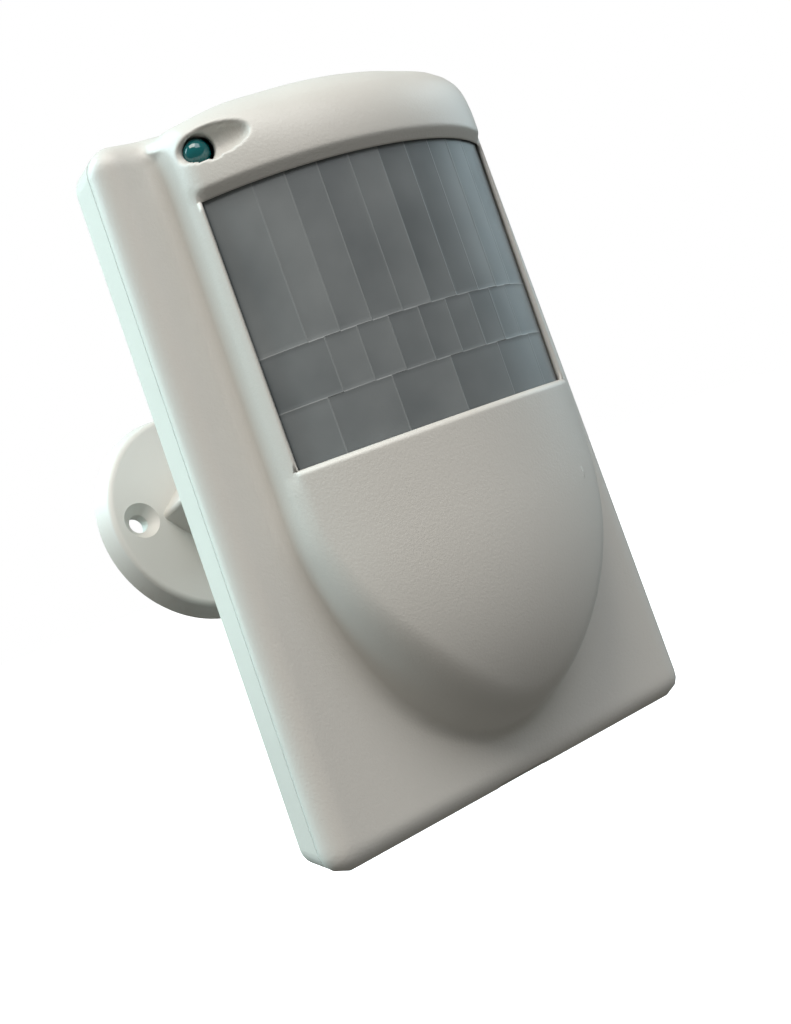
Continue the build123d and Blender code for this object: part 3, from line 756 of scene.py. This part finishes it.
def film_front(arcs, heights, limit):
    """Points and tones of the face with the sawtooth segments and the raised lines; the tones are painted
    light: a painted shade for each segment, painted shading across it and a painted highlight on the lines.
    """
    points, painted_light_tones = [], []
    random = np.random.default_rng(7)
    segment_shade_of = {}
    for z in heights:
        edges = np.array(segment_edges(z))
        for s in arcs:
            index = int(np.searchsorted(edges, s))
            left = edges[index - 1] if index > 0 else -limit
            right = edges[index] if index < len(edges) else limit
            share = (s - left) / max(right - left, 0.1)
            to_line = min(np.min(np.abs(edges - s)), min(abs(z - t) for t in ROW_TOPS))
            line = max(0.0, 1 - to_line / RIDGE_HALF)
            ridge = RIDGE_HEIGHT * line
            radius = LENS_R - FILM_FACE + SAWTOOTH * (share - 0.5) + ridge
            points.append(film_point(s, radius, z))
            key = (segment_row(z), index)
            if key not in segment_shade_of:
                # each segment gets its own painted shade, standing in for the light its facet catches
                segment_shade_of[key] = random.uniform(-SEGMENT_SHADE_SPREAD, SEGMENT_SHADE_SPREAD)
            # painted light: the segment's painted shade, painted shading that lightens from its left edge to
            # its right, and a painted highlight on the raised lines
            painted_light_tones.append(BASE_TONE + segment_shade_of[key] + PAINTED_SHADE_RISE * share + LINE_HIGHLIGHT * line)
    return points, painted_light_tones


def build_lens():
    """A thin film bent round the dome's axis."""
    limit = math.asin((WINDOW_HALF - 0.2) / (LENS_R - 0.01)) * LENS_R
    arcs, heights = film_grid(limit)
    vertices, painted_light_tones = film_front(arcs, heights, limit)
    back = len(vertices)
    vertices += [film_point(s, LENS_R - FILM_BACK, z) for z in heights for s in arcs]
    painted_light_tones += [BACK_TONE] * back
    width, rows = len(arcs), len(heights)
    faces = []
    for r in range(rows - 1):
        for c in range(width - 1):
            a = r * width + c
            faces.append((a, a + 1, a + width + 1, a + width))
            faces.append((back + a, back + a + width, back + a + width + 1, back + a + 1))
    rim = list(range(width)) + [r * width + width - 1 for r in range(1, rows)]
    rim += [(rows - 1) * width + c for c in range(width - 2, -1, -1)]
    rim += [r * width for r in range(rows - 2, 0, -1)]
    for a, b in zip(rim, rim[1:] + rim[:1]):
        faces.append((a, back + a, back + b, b))
    obj = new_object("lens_segments", vertices, faces)
    # each point's painted light: painted shade, painted shading and painted highlights
    attribute = obj.data.attributes.new("painted_segment_shading", "FLOAT", "POINT")
    attribute.data.foreach_set("value", np.array(painted_light_tones, np.float32))
    bm = bmesh.new()
    bm.from_mesh(obj.data)
    bmesh.ops.recalc_face_normals(bm, faces=bm.faces)
    bm.to_mesh(obj.data)
    bm.free()
    shade_smooth(obj)
    return obj


# ------------------------------------------------------------------ indicator

DOME_RADIUS = 2.15
DOME_STEM = 6.0              # length from the tip to the flat back end
DOME_SIDES = 48


def build_indicator():
    """The indicator's domed end, a turned solid of fine rings."""
    tip = -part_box("status_lens")[0].y / MM
    profile = [(DOME_RADIUS, tip - DOME_STEM), (DOME_RADIUS, tip - DOME_RADIUS * 1.05)]
    for degrees in range(0, 90, 6):
        rise = math.radians(degrees)
        depth = tip - DOME_RADIUS + DOME_RADIUS * math.sin(rise)
        profile.append((DOME_RADIUS * math.cos(rise), depth))
    vertices = [(LED_X, -tip, LED_Z), (LED_X, -(tip - DOME_STEM), LED_Z)]
    for r, depth in profile:
        for k in range(DOME_SIDES):
            turn = 2 * math.pi * k / DOME_SIDES
            vertices.append((LED_X + r * math.cos(turn), -depth, LED_Z + r * math.sin(turn)))
    faces = []
    last = 2 + (len(profile) - 1) * DOME_SIDES
    for k in range(DOME_SIDES):
        n = (k + 1) % DOME_SIDES
        faces.append((1, 2 + n, 2 + k))
        for a in range(2, last, DOME_SIDES):
            faces.append((a + k, a + n, a + DOME_SIDES + n, a + DOME_SIDES + k))
        faces.append((last + k, last + n, 0))
    obj = new_object("status_dome", vertices, faces)
    tidy_mesh(obj)
    return obj


# ------------------------------------------------------------------ the object

def place_piece(obj, node, body):
    """Puts a piece in a CAD node's place, on its body and in its material slot."""
    slot = SLOT_OF[node]
    dress(obj, slot)
    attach(obj, body)
    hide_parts(node)


for node, obj in frame["nodes"].items():
    dress(obj, SLOT_OF[node])
    shade_smooth(obj)

place_piece(build_cover(), "front_cover", "cover")
place_piece(build_lens(), "fresnel_lens", "cover")
place_piece(build_indicator(), "status_lens", "cover")


# ------------------------------------------------------------------ stage, light, camera

def camera():
    """The photograph's viewpoint; azimuth 0 is straight in front, negative to the left."""
    azimuth, elevation, roll = math.radians(-28.32), math.radians(2.83), math.radians(-19.66)
    target = Vector((-8.95, -15.72, -8.84)) * MM
    distance = 187.30 * MM
    back = Vector((
        math.sin(azimuth) * math.cos(elevation),
        -math.cos(azimuth) * math.cos(elevation),
        math.sin(elevation),
    ))
    right = Vector((0, 0, 1)).cross(back).normalized()
    up = back.cross(right)
    turned_right = math.cos(roll) * right + math.sin(roll) * up
    turned_up = back.cross(turned_right)
    data = bpy.data.cameras.new("camera")
    data.sensor_width = 36
    data.lens = 40.31
    data.clip_start = 0.01
    data.clip_end = 20
    obj = bpy.data.objects.new("camera", data)
    rotation = Matrix((turned_right, turned_up, back)).transposed()
    obj.matrix_world = Matrix.Translation(target + back * distance) @ rotation.to_4x4()
    bpy.context.scene.collection.objects.link(obj)
    bpy.context.scene.camera = obj


LIGHT_SIZE = 2.0
LIGHT_DISTANCE = 3.0
POWER_SCALE = 6.25           # the powers are those of a light 1.2 m away


def soft_light(name, azimuth, elevation, power, color):
    """A square soft box aimed at the object, with angles as for the camera."""
    around, up = math.radians(azimuth), math.radians(elevation)
    way = Vector((math.sin(around) * math.cos(up), -math.cos(around) * math.cos(up), math.sin(up)))
    data = bpy.data.lights.new(name, "AREA")
    data.size = LIGHT_SIZE
    data.energy = power * POWER_SCALE
    data.color = color
    obj = bpy.data.objects.new(name, data)
    obj.location = way * LIGHT_DISTANCE
    obj.rotation_euler = (-way).to_track_quat("-Z", "Y").to_euler()
    obj.visible_camera = False
    bpy.context.scene.collection.objects.link(obj)


def lights():
    soft_light("back_left", -150, 10, 4.7, (0.74, 1.0, 0.93))
    soft_light("above_left", -50, 60, 11.8, (1.0, 0.94, 0.86))
    soft_light("above_front", 0, 45, 5.8, (0.95, 0.96, 1.0))
    soft_light("right", 90, 20, 4.7, (0.71, 0.92, 1.0))
    soft_light("high_back_left", -130, 40, 15.4, (0.66, 0.92, 1.0))


FILL = 0.155                 # strength of the surround as the object sees it
FLOOR_Z = -0.35
FLOOR_HALF = 6.0


def surround():
    """A white surround; what it sends on to the object is dimmer than what shows behind it."""
    world = bpy.data.worlds.new("world")
    world.use_nodes = True
    nodes, links = world.node_tree.nodes, world.node_tree.links
    shown = nodes["Background"]
    shown.inputs[0].default_value = (1, 1, 1, 1)
    shown.inputs[1].default_value = 1.0
    fill = nodes.new("ShaderNodeBackground")
    fill.inputs[0].default_value = (1.0, 0.97, 0.90, 1)
    fill.inputs[1].default_value = FILL
    path = nodes.new("ShaderNodeLightPath")
    mix = nodes.new("ShaderNodeMixShader")
    links.new(path.outputs["Is Camera Ray"], mix.inputs[0])
    links.new(fill.outputs[0], mix.inputs[1])
    links.new(shown.outputs[0], mix.inputs[2])
    links.new(mix.outputs[0], nodes["World Output"].inputs[0])
    bpy.context.scene.world = world


def pale_floor():
    """A pale floor that sends no light back to the object."""
    signs = ((-1, -1), (1, -1), (1, 1), (-1, 1))
    corners = [(x * FLOOR_HALF, y * FLOOR_HALF, FLOOR_Z) for x, y in signs]
    floor = new_object("floor", corners, [(0, 1, 2, 3)], 1)
    material, nodes, links, shader, place = new_material("floor")
    pale = blend_color(nodes, links, noise(nodes, links, place, 3.0), (0.90, 0.90, 0.90), (0.88, 0.88, 0.88))
    links.new(pale, shader.inputs["Base Color"])
    shader.inputs["Roughness"].default_value = 0.9
    shader.inputs["Emission Color"].default_value = (1, 1, 1, 1)
    shader.inputs["Emission Strength"].default_value = 1.0
    floor.data.materials.append(material)
    floor.visible_diffuse = False
    floor.visible_glossy = False


camera()
surround()
pale_floor()
lights()
bpy.context.scene.view_settings.view_transform = "Standard"
